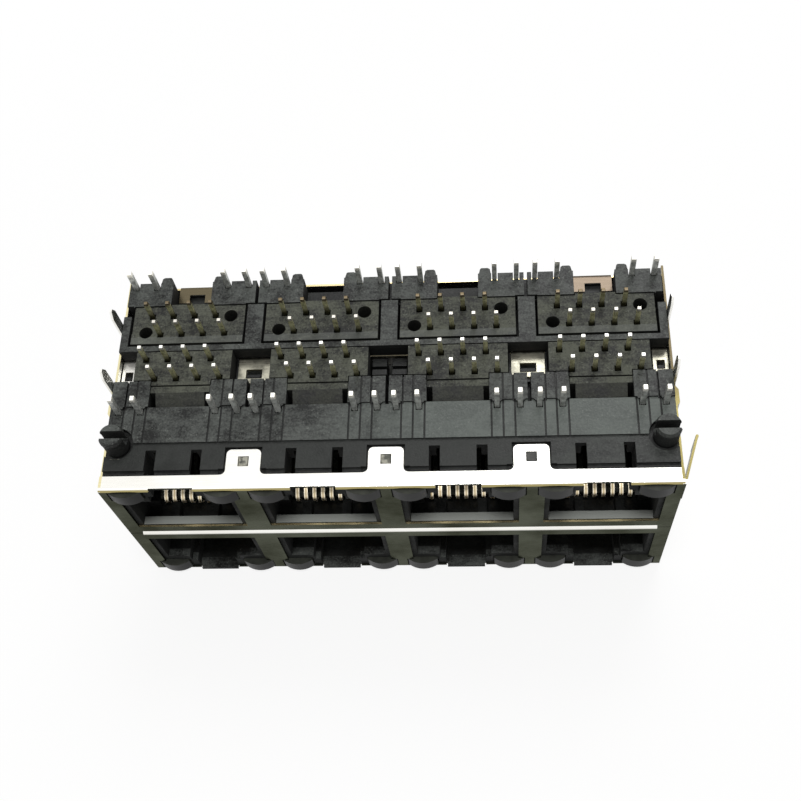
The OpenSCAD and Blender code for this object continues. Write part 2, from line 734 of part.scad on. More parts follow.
module housing() {
    groove = 0.2;
    deep_groove = 0.4;
    faint_groove = 0.1;
    seam_gap = 0.4;
    color("#2a2c29") difference() {
        union() {
            sweep_x(0, house_w) housing_outline();
            slab(0, bay_w, block_side_y, cross_bar_y, bay_floor_z, bay_ledge_z);
            each_column() each_side() {
                lead_block(lead_x - lead_half_pitch);
                lead_block(lead_x + lead_half_pitch);
                rear_peak();
            }
        }
        each_column() {
            in_row("board") port_cut();
            in_row("cover") port_cut();
            board_row_cut();
            cover_row_cut();
            slab(0, wing_gap, insert_heel_y, shell_d, upright_top - 0.3, seat_z + over);
            each_side() {
                for (x = [3.7, 5, 6.3])
                    slab(x, groove, step_y - 0.01, panel_y, panel_z - faint_groove, panel_z + over);
                slab(lead_x + lead_half_pitch - lead_block_w / 2, groove, panel_y - 0.2, block_side_y,
                    seat_z - deep_groove, seat_z + over);
                slab(5, groove, panel_y - 0.2, block_side_y, seat_z - faint_groove, seat_z + over);
            }
        }
        for (seam = [1:COLUMNS - 1]) translate([seam_x(seam), 0, 0]) {
            slab(0, seam_gap, panel_y - 0.2, block_side_y, hook_z - 1, seat_z + over);
            slab(0, seam_gap, wing_y - 0.1, shell_d, seat_z - 1.5, seat_z + over);
            slab(0, bar_w + 2 * block_gap, insert_back_y, wing_y, seat_z - 1, seat_z + over);
            slab(0, tab_w + 0.3, flange_d, tab_reach + 0.15, flange_z - fit_gap / 2, seat_z);
            slab(0, tab_w + 2 * tab_r + 0.3, flange_d, flange_d + tab_r, flange_z - fit_gap / 2, seat_z);
        }
        slab(0, shell_w, 0, upright_back_y + 0.05, mid_z - sheet_t / 2 - 0.05, mid_z + sheet_t / 2 + 0.05);
        slab(0, shell_w, cross_bar_y - 0.01, upright_back_y + 0.05, mid_z, upright_top + 0.05);
        for (seam = [1, COLUMNS - 1]) hook_slot(seam_x(seam), hook_w);
        each_side() {
            hook_slot(inner_half - fit_gap - end_hook_w / 2, end_hook_w);
            end_cut();
        }
        middle_bay();
        slab(0, shell_w - 2 * roll_inset + 0.2, 0, 0.95, mid_z - roll_h / 2 - 0.1, mid_z + roll_h / 2 + 0.1);
        each_side() translate([shell_w / 2 - peg_inset, peg_y, flange_z - fit_gap / 2])
            cylinder(r = peg_ring_r, h = 2);
    }
}

// Slot in the cross bar through which a sheet hook comes forward.
module hook_slot(x, width) {
    slab(x, width + 2 * fit_gap, upright_back_y - hook_r, upright_back_y + fit_gap / 2, upright_top,
        hook_z + fit_gap / 2);
}

// Notch between the end wall and the rear block, and the rear block's set-back side.
module end_cut() {
    half = house_w / 2;
    notch_w = 1;
    set_back = 0.2;
    low = seat_z - 3.5;
    box([half - notch_w, end_wall_y, low], [half + over, wing_y - 0.05, seat_z + over]);
    box([half - set_back, end_wall_y, low], [half + over, shell_d, seat_z + over]);
}

// Deep bay between the two middle columns, with four ledges round a cross-shaped gap.
module middle_bay() {
    ledge_w = 1.7;
    cross_half = 0.3;
    difference() {
        slab(0, bay_w, block_side_y, cross_bar_y + 0.01, bay_floor_z, seat_z);
        each_side() for (y = bay_ledges)
            slab(cross_half + ledge_w / 2, ledge_w, y[0], y[1], bay_floor_z - over, bay_ledge_z);
    }
}

module housing_with_pegs() {
    housing();
    color("#2a2c29") {
        each_side() translate([shell_w / 2 - peg_inset, peg_y, 0]) peg();
        for (seam = [1:COLUMNS - 1]) tab_nub(seam_x(seam));
        for (seam = [1, COLUMNS - 1]) hook_nub(seam_x(seam), hook_window_w - 0.3);
        each_side() hook_nub(inner_half - fit_gap - end_hook_w / 2, hook_window_w / 2 - 0.3);
        each_column() notch_lip();
    }
}

// Lip that fills the notch in the cover's front fold, below a latch notch.
module notch_lip() {
    lip_w = latch_w - 0.3;
    slab(0, lip_w, -0.15, skin - 0.05, 0.02, latch_floor);
    slab(0, lip_w, 0, skin + over, skin, latch_floor);
}

// Nub that fills a flange tab's window, sloped towards the front.
module tab_nub(x) {
    side = tab_window - 0.2;
    sweep_x(x, side) polygon([
        [tab_window_y - side / 2, flange_z - 0.5], [tab_window_y + side / 2, flange_z - 0.5],
        [tab_window_y + side / 2, shell_h + 0.05], [tab_window_y - side / 2, shell_h - 0.15]
    ]);
}

// Nub that holds a sheet hook by its window, with a ramp on its back.
module hook_nub(x, width) {
    front = hook_window_y - hook_window_d + 0.1;
    sweep_x(x, width) polygon([
        [front, hook_z - 0.5], [hook_window_y - 0.1, hook_z - 0.5], [hook_window_y - 0.1, hook_z - 0.25],
        [front + 0.4, hook_z], [front, hook_z]
    ]);
}

// ---- Assembly ----

translate([0, front_y, 0]) {
    housing_with_pegs();  // housing
    front_shield();
    cover_shield();
    inner_shield();
    for (column = [1:COLUMNS]) {
        board_insert(column);
        cover_insert(column);
        contacts("board", column, row_a_y);
        contacts("cover", column, row_d_y);
        for (row = ["board", "cover"]) {
            lamp(row, column, -1);
            lamp(row, column, 1);
            leads(row, column, -1);
            leads(row, column, 1);
        }
    }
}
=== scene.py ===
# %% [markdown]
# # A stacked block of network jacks
# This lesson dresses a packed CAD model of a jack block: four columns of two ports, folded metal sheets round a
# black moulding, and rows of pins. The block lies on its cover, so the side that meets a circuit board faces up.
# All shapes come from the CAD frame. Blender's share is the finish of every surface, the light and the camera.

# %% Load the frame
import math

import bpy
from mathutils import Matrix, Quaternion, Vector


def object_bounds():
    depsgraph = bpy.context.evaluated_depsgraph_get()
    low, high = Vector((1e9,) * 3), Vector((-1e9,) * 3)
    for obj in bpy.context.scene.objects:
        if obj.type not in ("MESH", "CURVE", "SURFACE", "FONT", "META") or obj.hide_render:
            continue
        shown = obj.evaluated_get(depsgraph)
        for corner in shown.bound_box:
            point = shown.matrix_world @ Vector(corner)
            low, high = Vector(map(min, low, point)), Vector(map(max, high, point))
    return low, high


MM = 0.001

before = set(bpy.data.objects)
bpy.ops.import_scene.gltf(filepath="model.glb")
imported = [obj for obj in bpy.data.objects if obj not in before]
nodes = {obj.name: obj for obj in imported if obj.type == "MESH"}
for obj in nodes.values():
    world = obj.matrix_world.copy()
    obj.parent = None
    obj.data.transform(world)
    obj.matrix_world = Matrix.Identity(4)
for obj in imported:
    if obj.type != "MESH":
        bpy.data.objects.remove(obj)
cad_low, cad_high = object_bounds()
print("nodes:", len(nodes), "size in mm:", [round(side / MM, 1) for side in cad_high - cad_low])

# %% [markdown]
# ## The camera
# A camera can be placed by a point that it looks at, a point where it stands and a roll about its own axis.
# That is easier to read than three angles, and `to_track_quat` turns the first two into a rotation. The block is
# seen from high above its front edge, a little to the right of its middle, with a short telephoto lens.

# %% Place the camera
CAMERA_AT = Vector((12.47, -62.80, 137.74)) * MM
LOOKS_AT = Vector((1.545, -3.773, 26.0)) * MM
ROLL_DEGREES = -10.497
LENS_MM = 51.1
SENSOR_MM = 36.0
CLIP_NEAR_M = 0.001
CLIP_FAR_M = 20.0


def add_camera(place, target, roll_degrees):
    """Camera at place that looks at target, then turns about its own viewing axis by roll_degrees."""
    data = bpy.data.cameras.new("camera")
    data.lens = LENS_MM
    data.sensor_width = SENSOR_MM
    data.clip_start = CLIP_NEAR_M
    data.clip_end = CLIP_FAR_M
    camera = bpy.data.objects.new("camera", data)
    camera.rotation_mode = "QUATERNION"
    camera.location = place
    aim = (target - place).to_track_quat("-Z", "Y")
    camera.rotation_quaternion = aim @ Quaternion((0, 0, 1), math.radians(roll_degrees))
    bpy.context.scene.collection.objects.link(camera)
    bpy.context.scene.camera = camera


add_camera(CAMERA_AT, LOOKS_AT, ROLL_DEGREES)
print("the camera stands", round((CAMERA_AT - LOOKS_AT).length / MM), "mm away")

# %% [markdown]
# ## Colours and nodes
# A colour picked on a screen is an sRGB value, but shaders count in linear light, so one small function turns a
# hex code into linear numbers. A second one adds a node, sets its properties and fills its inputs in one call, so
# that a material reads as a short list of steps.

# %% Colours and nodes


def linear(hex_code):
    """sRGB hex code as linear red, green, blue and alpha: below 0.04045 divided by 12.92, above it a power of 2.4."""
    channels = [int(hex_code[i : i + 2], 16) / 255 for i in (1, 3, 5)]
    return tuple(c / 12.92 if c <= 0.04045 else ((c + 0.055) / 1.055) ** 2.4 for c in channels) + (1.0,)


def add(tree, kind, settings=None, **inputs):
    """Adds a shader node, sets its properties, then gives each input a link, a hex colour or a plain value.

    An input goes by its label, with _ for a space, or by its number after _ where labels repeat.
    """
    node = tree.nodes.new("ShaderNode" + kind)
    for name, value in (settings or {}).items():
        setattr(node, name, value)
    for name, value in inputs.items():
        socket = node.inputs[int(name[1:]) if name[0] == "_" else name.replace("_", " ")]
        if isinstance(value, bpy.types.NodeSocket):
            tree.links.new(value, socket)
        else:
            socket.default_value = linear(value) if isinstance(value, str) else value
    return node


def new_material(name):
    """Material with an empty node tree. Returns both."""
    material = bpy.data.materials.new(name)
    material.use_nodes = True
    material.node_tree.nodes.clear()
    return material, material.node_tree


print("half of white on a screen is", round(linear("#808080")[0], 3), "in linear light")

# %% [markdown]
# ## Masks from place and direction
# Many finishes on this block depend on where a point lies and which way it faces: a cut edge is brass, a solder tip
# is tin, the land round a mouth is painted light. A small class keeps the place of a shaded point, in millimetres
# from the middle, the front face and the underside, and the direction of its face. It answers such questions with a
# mask of 0 or 1, softened over a short distance. It reads Object coordinates, so a mask stays put on its piece.

# %% Masks from place and direction
BULGE_MM = 0.57  # how far the rounded lamps stand ahead of the front face
FRONT_MM = -cad_low.y / MM - BULGE_MM
SOFT_MM = 0.02
TURNED = 0.5  # share of a face's direction from which it counts as pointing that way
WALL_TILT = 0.35
WALL_SOFT = 0.3


class Place:
    """The place of a shaded point and the direction of its face, with masks made from both."""

    def __init__(self, tree):
        self.tree = tree
        coordinates = add(self.tree, "TexCoord").outputs
        self.point, normal = coordinates["Object"], coordinates["Normal"]
        scale, shift = (1 / MM, 1 / MM, 1 / MM), (0.0, FRONT_MM, 0.0)
        placed = add(self.tree, "VectorMath", {"operation": "MULTIPLY_ADD"}, _0=self.point, _1=scale, _2=shift)
        turned = add(self.tree, "VectorMath", {"operation": "MULTIPLY"}, _0=normal, _1=(1.0, -1.0, 1.0))
        unsigned = add(self.tree, "VectorMath", {"operation": "ABSOLUTE"}, _0=normal)
        places, signed, sizes = [
            add(self.tree, "SeparateXYZ", Vector=vector.outputs["Vector"]).outputs
            for vector in (placed, turned, unsigned)
        ]
        self.x, self.depth, self.z = places
        self.forward, self.up = signed["Y"], signed["Z"]
        self.side, self.level = sizes["X"], sizes["Z"]

    def above(self, value, level, soft=SOFT_MM, under=0.0, over=1.0):
        """1 where value is over level and 0 where it is under, with a slope soft wide. Other ends may be given."""
        low, high = level - soft / 2, level + soft / 2
        step = add(self.tree, "MapRange", Value=value, From_Min=low, From_Max=high, To_Min=under, To_Max=over)
        return step.outputs["Result"]

    def below(self, value, level, soft=SOFT_MM):
        """1 where value is under level."""
        return self.above(value, level, soft, under=1.0, over=0.0)

    def between(self, value, low, high):
        """1 where value lies between low and high."""
        return self.every(self.above(value, low), self.below(value, high))

    def every(self, *masks):
        """1 where all masks are 1: their product."""
        result = masks[0]
        for mask in masks[1:]:
            result = add(self.tree, "Math", {"operation": "MULTIPLY"}, _0=result, _1=mask).outputs[0]
        return result

    def tops(self):
        """1 on faces that point up."""
        return self.above(self.up, TURNED)

    def walls(self):
        """1 on upright faces and on those that point down, with a slow change from the tops."""
        return self.below(self.up, WALL_TILT, WALL_SOFT)


print("the front face stands", round(FRONT_MM, 2), "mm ahead of the origin")

# %% [markdown]
# ## Blotches and paint
# A finish is a material in the making: it starts empty, knows its places and masks, and takes tone after tone. Real
# surfaces are seldom even, so it also makes blotches of a real size, with one noise texture for each. Most of the
# finishes below are three or four such steps.

# %% Blotches and paint
NOISE_MIDDLE = 0.5  # the value that noise varies about


class Finish(Place):
    """A material in the making, with blotches of a real size and tones laid one over another."""

    def __init__(self, name):
        self.material, tree = new_material(name)
        super().__init__(tree)

    def noise(self, size_mm, detail=3.0, roughness=0.6, stretch=(1.0, 1.0, 1.0)):
        """Noise with blobs about size_mm wide, drawn out along an axis where its stretch is below 1."""
        vector = add(self.tree, "Mapping", Vector=self.point, Scale=stretch).outputs["Vector"]
        scale = 1 / (size_mm * MM)
        blobs = add(self.tree, "TexNoise", Vector=vector, Scale=scale, Detail=detail, Roughness=roughness)
        return blobs.outputs["Fac"]

    def paint(self, colour, tone, *masks, share=None):
        """Lays tone over colour where all masks are 1. A share below 1 lets some of the colour through."""
        cover = self.every(*masks) if share is None else self.every(*masks, share)
        return add(self.tree, "Mix", {"data_type": "RGBA"}, _0=cover, _6=colour, _7=tone).outputs[2]

    def mottled(self, size_mm, dark, light, low=0.35, high=0.62, detail=3.0):
        """Blotches about size_mm wide: dark where the noise is under low and light where it is over high."""
        return self.paint(dark, light, self.above(self.noise(size_mm, detail), (low + high) / 2, high - low))

    def done(self, surface):
        """Makes surface the material's output, says what was made and returns the material."""
        add(self.tree, "OutputMaterial", Surface=surface.outputs["BSDF"])
        print(self.material.name, "is made of", len(self.tree.nodes), "nodes")
        return self.material


print("a finish knows", [word for word in vars(Finish) if word[0] != "_"])

# %% [markdown]
# ## Glass-filled moulding compound
# The housing and the inserts are moulded from glass-filled polyester. The tool's spark-eroded faces leave a fine
# grain, and the glass fibres float up in soft grey patches. Noise gives both: a patch of a few millimetres and a
# streak along the flow for the colour, and a grain of a fraction of a millimetre for the colour and the bump. The
# grain is drawn a little coarser than the real one, which would be too fine to show. Walls drag along the tool as
# it opens, which makes them rougher, and they see little light, so painted shade makes them nearly black. The small
# radius on every edge is left to a Bevel node, because it changes how an edge shines and not the shape.

# %% Moulding compound
PATCH_MM = 3.6
STREAK_MM = 0.6
GRAIN_MM = 0.24
GRAIN_RELIEF_MM = 0.05
FLECK_MM = 0.35
EDGE_MM = 0.07
FLOW_STRETCH = (0.35, 1.0, 1.0)
PATCH_WEIGHT, STREAK_WEIGHT, GRAIN_WEIGHT = 0.45, 0.25, 0.3
CLOUD_SOFT = 0.16
FLECKS_OVER, FLECK_SOFT = 0.66, 0.1
SHEEN_SOFT, SMOOTHER, ROUGHER = 0.3, 0.1, 0.14  # how evenly the sheen changes, and its reach down and up
# Painted shade: the near-black laid over walls, recesses and grooves, where little light falls.
SHADE_BLACK = "#050605"
WALL_ROUGHER = 0.4


def clouded(skin, dark, light, fleck):
    """Clouded black: patches, streaks and grain, weighted, between two tones, with sparse pale flecks and painted
    shade on walls.
    """
    patch = skin.noise(PATCH_MM, detail=4.0)
    streak = skin.noise(STREAK_MM, roughness=0.65, stretch=FLOW_STRETCH)
    grain = skin.noise(GRAIN_MM, detail=2.0)
    shade = 0.0
    for pattern, weight in ((patch, PATCH_WEIGHT), (streak, STREAK_WEIGHT), (grain, GRAIN_WEIGHT)):
        shade = add(skin.tree, "Math", {"operation": "MULTIPLY_ADD"}, _0=pattern, _1=weight, _2=shade).outputs[0]
    cloud = skin.paint(dark, light, skin.above(shade, NOISE_MIDDLE, CLOUD_SOFT))
    flecks = skin.above(skin.noise(FLECK_MM, roughness=0.7), FLECKS_OVER, FLECK_SOFT)
    cloud = skin.paint(cloud, fleck, flecks, share=0.5)
    # Painted shade on the walls.
    return skin.paint(cloud, SHADE_BLACK, skin.walls(), share=0.85), patch, grain


def eroded_plastic(skin, colour, patch, grain, roughness):
    """Plastic of a colour: slightly rounded edges, sheen in patches, rougher walls and an eroded grain as bump."""
    sheen = skin.above(patch, NOISE_MIDDLE, SHEEN_SOFT, under=roughness - SMOOTHER, over=roughness + ROUGHER)
    rough = add(skin.tree, "Math", {"operation": "MULTIPLY_ADD"}, _0=skin.walls(), _1=WALL_ROUGHER, _2=sheen)
    rounded = add(skin.tree, "Bevel", {"samples": 4}, Radius=EDGE_MM * MM).outputs["Normal"]
    relief = add(skin.tree, "Bump", Height=grain, Strength=0.6, Distance=GRAIN_RELIEF_MM * MM, Normal=rounded)
    return add(
        skin.tree, "BsdfPrincipled", Base_Color=colour, Roughness=rough.outputs[0],
        Normal=relief.outputs["Normal"], IOR=1.5, Specular_IOR_Level=0.25,
    )


print("the moulding's grain is", GRAIN_MM, "mm and its patches", PATCH_MM, "mm wide")

# %% [markdown]
# ## Steps and grooves of the housing
# The housing carries everything else, and its board side has steps at several levels. The deck behind the flange is
# painted darker as painted shade, less so at the far right. The panel behind the deck is paler towards the right, a
# painted sheen, and recesses and grooves are painted nearly black as painted shade. Each is a mask on level and
# direction, which is exact where painting by hand would not be.

# %% Steps and grooves of the housing
DECK_LEVELS_MM = (25.45, 25.55)
RECESS_LEVELS_MM = (0.3, 25.35)
PANEL_LEVELS_MM = (25.7, 25.8)
PANEL_GROOVE_MM = (25.56, 25.69)
BLOCK_GROOVE_MM = (25.85, 25.95)
MOUTH_LAND_MM = 1.3
PALER_DECK_MM, PALER_PANEL_MM, PALER_OVER_MM = 17.0, -2.0, 14.0
# Painted shade on the deck and a painted sheen on the panel.
DECK_SHADE = "#1c1e1c"
PANEL_SHEEN = "#6e7570"


def stepped(skin, colour):
    """Painted shade on the deck, a painted sheen on the panel, and painted shade that makes recesses and grooves
    black.
    """
    tops = skin.tops()
    # Painted shade: the deck darkened, less so at the far right.
    deck_share = skin.above(skin.x, PALER_DECK_MM, PALER_OVER_MM, under=0.9, over=0.5)
    colour = skin.paint(colour, DECK_SHADE, skin.between(skin.z, *DECK_LEVELS_MM), tops, share=deck_share)
    # Painted sheen: the panel paler towards the right.
    sheen_side = skin.above(skin.x, PALER_PANEL_MM, PALER_OVER_MM)
    colour = skin.paint(colour, PANEL_SHEEN, skin.between(skin.z, *PANEL_LEVELS_MM), tops, sheen_side, share=0.4)
    # Painted shade: recesses and grooves nearly black.
    recess = skin.between(skin.z, *RECESS_LEVELS_MM), skin.above(skin.depth, MOUTH_LAND_MM)
    colour = skin.paint(colour, SHADE_BLACK, *recess, share=0.85)
    for levels in (PANEL_GROOVE_MM, BLOCK_GROOVE_MM):
        colour = skin.paint(colour, SHADE_BLACK, skin.between(skin.z, *levels), share=0.9)
    return colour


print("the deck lies at", sum(DECK_LEVELS_MM) / 2, "mm and the panel at", sum(PANEL_LEVELS_MM) / 2, "mm")

# %% [markdown]
# ## Light on the mouths and nubs of the housing
# Light reaches a little way into the mouth of each port and falls on the nubs in the flange's windows, and paint
# stands in for both: painted light on the land round each mouth, and painted light in pale blotches on the nubs, with
# painted shade on the nubs to the right. One edge in the middle bay is painted as a pale line. They are masks again,
# laid over the steps.

# %% Light on the mouths and nubs of the housing
BELLY_LEVELS_MM = (14.5, 14.8)
NUB_LEVELS_MM = (24.9, 25.3)
NUB_DEPTHS_MM = (2.8, 4.1)
NUB_BLOTCH_MM = 0.9
SHADED_NUBS_FROM_MM = 8.0
PALE_LINE_LEVELS_MM = (23.5, 23.72)
PALE_LINE_DEPTHS_MM = (17.3, 17.45)
PALE_LINE_SPAN_MM = (-4.0, 4.0)
# Painted light on the mouths and nubs, painted shade on the nubs to the right, and a pale line on one edge.
MOUTH_LIGHT = "#a6a9a3"
PALE_LINE = "#e9dfbf"
NUB_DARK, NUB_PALE, NUB_SHADE = "#4a4b42", "#a8a698", "#1d1e17"


def mouths_and_nubs(skin, colour):
    """Painted light on the land round the mouths, painted light and shade on the nubs, and a pale line in the middle
    bay.
    """
    tops = skin.tops()
    # A pale line painted along one edge in the middle bay.
    edge = skin.between(skin.z, *PALE_LINE_LEVELS_MM), skin.between(skin.depth, *PALE_LINE_DEPTHS_MM)
    colour = skin.paint(colour, PALE_LINE, *edge, skin.between(skin.x, *PALE_LINE_SPAN_MM), share=0.9)
    # Painted light where light reaches into each mouth.
    mouth = skin.below(skin.depth, MOUTH_LAND_MM), skin.between(skin.z, *BELLY_LEVELS_MM)
    colour = skin.paint(colour, MOUTH_LIGHT, *mouth, tops, share=0.8)
    # Painted light in pale blotches on the nubs, and painted shade on those to the right.
    nub_light = skin.mottled(NUB_BLOTCH_MM, NUB_DARK, NUB_PALE, low=0.42, high=0.56, detail=2.0)
    nub_light = skin.paint(nub_light, NUB_SHADE, skin.above(skin.x, SHADED_NUBS_FROM_MM))
    nub = skin.between(skin.z, *NUB_LEVELS_MM), skin.between(skin.depth, *NUB_DEPTHS_MM)
    return skin.paint(colour, nub_light, *nub, tops, share=0.85)


def housing_moulding():
    """Clouded black moulding of the housing, with its steps, its painted shade and its painted light."""
    skin = Finish("glass_filled_polyester_housing")
    colour, patch, grain = clouded(skin, "#111211", "#4a4d4a", "#7a7d78")
    colour = mouths_and_nubs(skin, stepped(skin, colour))
    return skin.done(eroded_plastic(skin, colour, patch, grain, roughness=0.4))


housing_plastic = housing_moulding()

# %% [markdown]
# ## The inserts
# Two blocks in each column hold the contacts. They come from another tool, which leaves them rougher and a touch
# browner than the housing. The sloping shoulder of a front insert is painted darker, as painted shade, and ends in a
# painted highlight along its crease, and a rear insert has a paler strip along its front.

# %% Inserts
SHOULDER_UP = (0.6, 0.97)
CREASE_MM = (12.05, 12.2)
STRIP_MM = (17.5, 19.3)
# Painted shade on the sloping shoulders and a painted highlight along their crease.
SHOULDER_SHADE = "#0b0b0a"
CREASE_HIGHLIGHT = "#75766c"
STRIP_GREY = "#666966"


def insert_moulding():
    """Black moulding of the contact inserts, with painted shade on the shoulder, a painted highlight on its crease
    and a paler front strip.
    """
    skin = Finish("glass_filled_polyester_insert")
    colour, patch, grain = clouded(skin, "#10110f", "#4d4f46", "#7b7e75")
    shoulder = skin.between(skin.up, *SHOULDER_UP)
    # Painted shade on the shoulder.
    colour = skin.paint(colour, SHOULDER_SHADE, skin.below(skin.depth, CREASE_MM[1]), shoulder, share=0.6)
    colour = skin.paint(colour, STRIP_GREY, skin.between(skin.depth, *STRIP_MM), skin.tops(), share=0.35)
    # Painted highlight along the crease.
    colour = skin.paint(colour, CREASE_HIGHLIGHT, skin.between(skin.depth, *CREASE_MM), shoulder, share=0.5)
    return skin.done(eroded_plastic(skin, colour, patch, grain, roughness=0.55))


insert_plastic = insert_moulding()

# %% [markdown]
# ## Rolled and plated metal
# Sheet and wire are both rolled, and plating follows every line that the rolls leave. Those lines are noise drawn
# out along X, and they drive the roughness and a faint bump. A real line is finer than this one, which is as coarse
# as it needs to be to show. Tarnished metal has lost its shine, so it is much rougher.

# %% Rolled metal
LINE_MM = 0.12
LINE_RELIEF_MM = 0.01
ROLLING_STRETCH = (0.04, 1.0, 1.0)
TARNISH_ROUGHNESS = 0.9
GLANCING_TINT = "#b8b8b4"  # holds down the white flare of a metal that is seen at a low angle


def rolled_metal(metal, colour, smooth, rough, tarnish=0.0):
    """Metal of a colour: roughness from smooth to rough along the rolling lines, and at least 0.9 on tarnish."""
    lines = metal.noise(LINE_MM, detail=2.0, roughness=0.5, stretch=ROLLING_STRETCH)
    polish = metal.above(lines, NOISE_MIDDLE, soft=1.0, under=smooth, over=rough)
    dull = metal.every(tarnish, TARNISH_ROUGHNESS)
    spread = add(metal.tree, "Math", {"operation": "MAXIMUM"}, _0=polish, _1=dull).outputs[0]
    relief = add(metal.tree, "Bump", Height=lines, Strength=0.1, Distance=LINE_RELIEF_MM * MM)
    return add(
        metal.tree, "BsdfPrincipled", Base_Color=colour, Metallic=1.0, Roughness=spread,
        Normal=relief.outputs["Normal"], Specular_Tint=GLANCING_TINT,
    )


print("the rolling lines are", LINE_MM, "mm wide and", round(LINE_MM / ROLLING_STRETCH[0], 1), "mm long")

# %% [markdown]
# ## Faces of the outer shields
# The shields are stamped from brass strip that was plated with nickel before it was cut. The flange that meets the
# board is bright. The walls that stand are a greyer nickel. The front face is painted a dull dark grey, and the gap
# plates at the back brown and beige, as a painted reflection of dim surroundings. Stains of several millimetres keep
# any face from being one flat tone.

# %% Faces of the outer shields
STAIN_MM = 8.0
FACE_ENDS_MM = 1.2
FACE_FORWARD = 0.85
FLANGE_UNDER_MM = 24.93
PLATES_FROM_MM = 25.0
PLATE_LEVELS_MM = (23.4, 24.0)
BEIGE_PLATES_FROM_MM = 16.0
NICKEL, NICKEL_STAINED = "#f8f7f2", "#f1efe8"
WALL_NICKEL, WALL_NICKEL_DULL = "#d8d7d1", "#c4c3bc"
# Painted shade: a dark reflection on the front face, under the inner sheet's roll and on cut edges in front.
DIM_SHADE, DARK_SHADE = "#5f6258", "#3a3c34"
# Painted reflection on the gap plates.
PLATE_REFLECTION_BROWN, PLATE_REFLECTION_BEIGE = "#665e4b", "#5f554a"


def plated_faces(sheet):
    """Colour of the plating: bright nickel, greyer walls, and a painted dark reflection on the gap plates and the
    front face.
    """
    colour = sheet.mottled(STAIN_MM, NICKEL_STAINED, NICKEL)
    grey = sheet.mottled(STAIN_MM, WALL_NICKEL_DULL, WALL_NICKEL, detail=4.0)
    standing = sheet.below(sheet.level, TURNED), sheet.below(sheet.z, FLANGE_UNDER_MM)
    colour = sheet.paint(colour, grey, *standing, sheet.above(sheet.depth, FACE_ENDS_MM))

    # Painted reflection: the gap plates brown on the left and beige on the right.
    plate_reflection = sheet.paint(PLATE_REFLECTION_BROWN, PLATE_REFLECTION_BEIGE, sheet.above(sheet.x, BEIGE_PLATES_FROM_MM))
    plate = sheet.above(sheet.depth, PLATES_FROM_MM), sheet.between(sheet.z, *PLATE_LEVELS_MM)
    colour = sheet.paint(colour, plate_reflection, *plate, sheet.tops())

    # Painted dark reflection on the front face, in blotches.
    dull = sheet.mottled(STAIN_MM, DARK_SHADE, DIM_SHADE, low=0.35, high=0.65, detail=4.0)
    face = sheet.below(sheet.depth, FACE_ENDS_MM, soft=0.4), sheet.above(sheet.forward, FACE_FORWARD, soft=0.2)
    return sheet.paint(colour, dull, *face)


print("the stains on the plating are about", STAIN_MM, "mm wide")

# %% [markdown]
# ## Cut edges, bends and blades of the outer shields
# Where the strip was cut, yellow brass shows. Which faces are cut depends on the sheet: in front those that point
# sideways or up, at the level of the flange those that stand, and on a side or back wall its top. In front only the
# sill tops show brass, and painted shade makes the other cuts dark. The cuts on the right are painted olive, and
# brown towards the back, as painted shade. The bend from face to flange is painted a little yellow. The ground
# blades stay bright to the edge, because they are dipped in tin for soldering.

# %% Cut edges of the outer shields
CUT_DEPTH_MM = 0.3
CUT_UNDER_MM = 24.7
SILL_LEVELS_MM = (14.3, 14.8)
BEND_DEPTH_MM = 0.5
BEND_FROM_MM = 24.6
BEND_UP = (0.15, 0.8)
BACK_WALL_MM = 27.6
BACK_TOP_MM = 23.3
SIDE_WALL_MM = 31.7
FLANGE_TOP_MM = 25.25
BROWN_SHADE_FROM_MM = 11.0
BLADE_BLOTCH_MM = 0.8
# The olive and brown cut tones are painted shade on the right.
CUT_BRASS, CUT_PALE, CUT_SHADE_OLIVE, CUT_SHADE_BROWN = "#dccb9c", "#e6dcb0", "#7d744a", "#4c4534"
BEND_YELLOW = "#a89c6c"
BLADE_DULL, BLADE_BRIGHT = "#b4b5b1", "#eeefec"


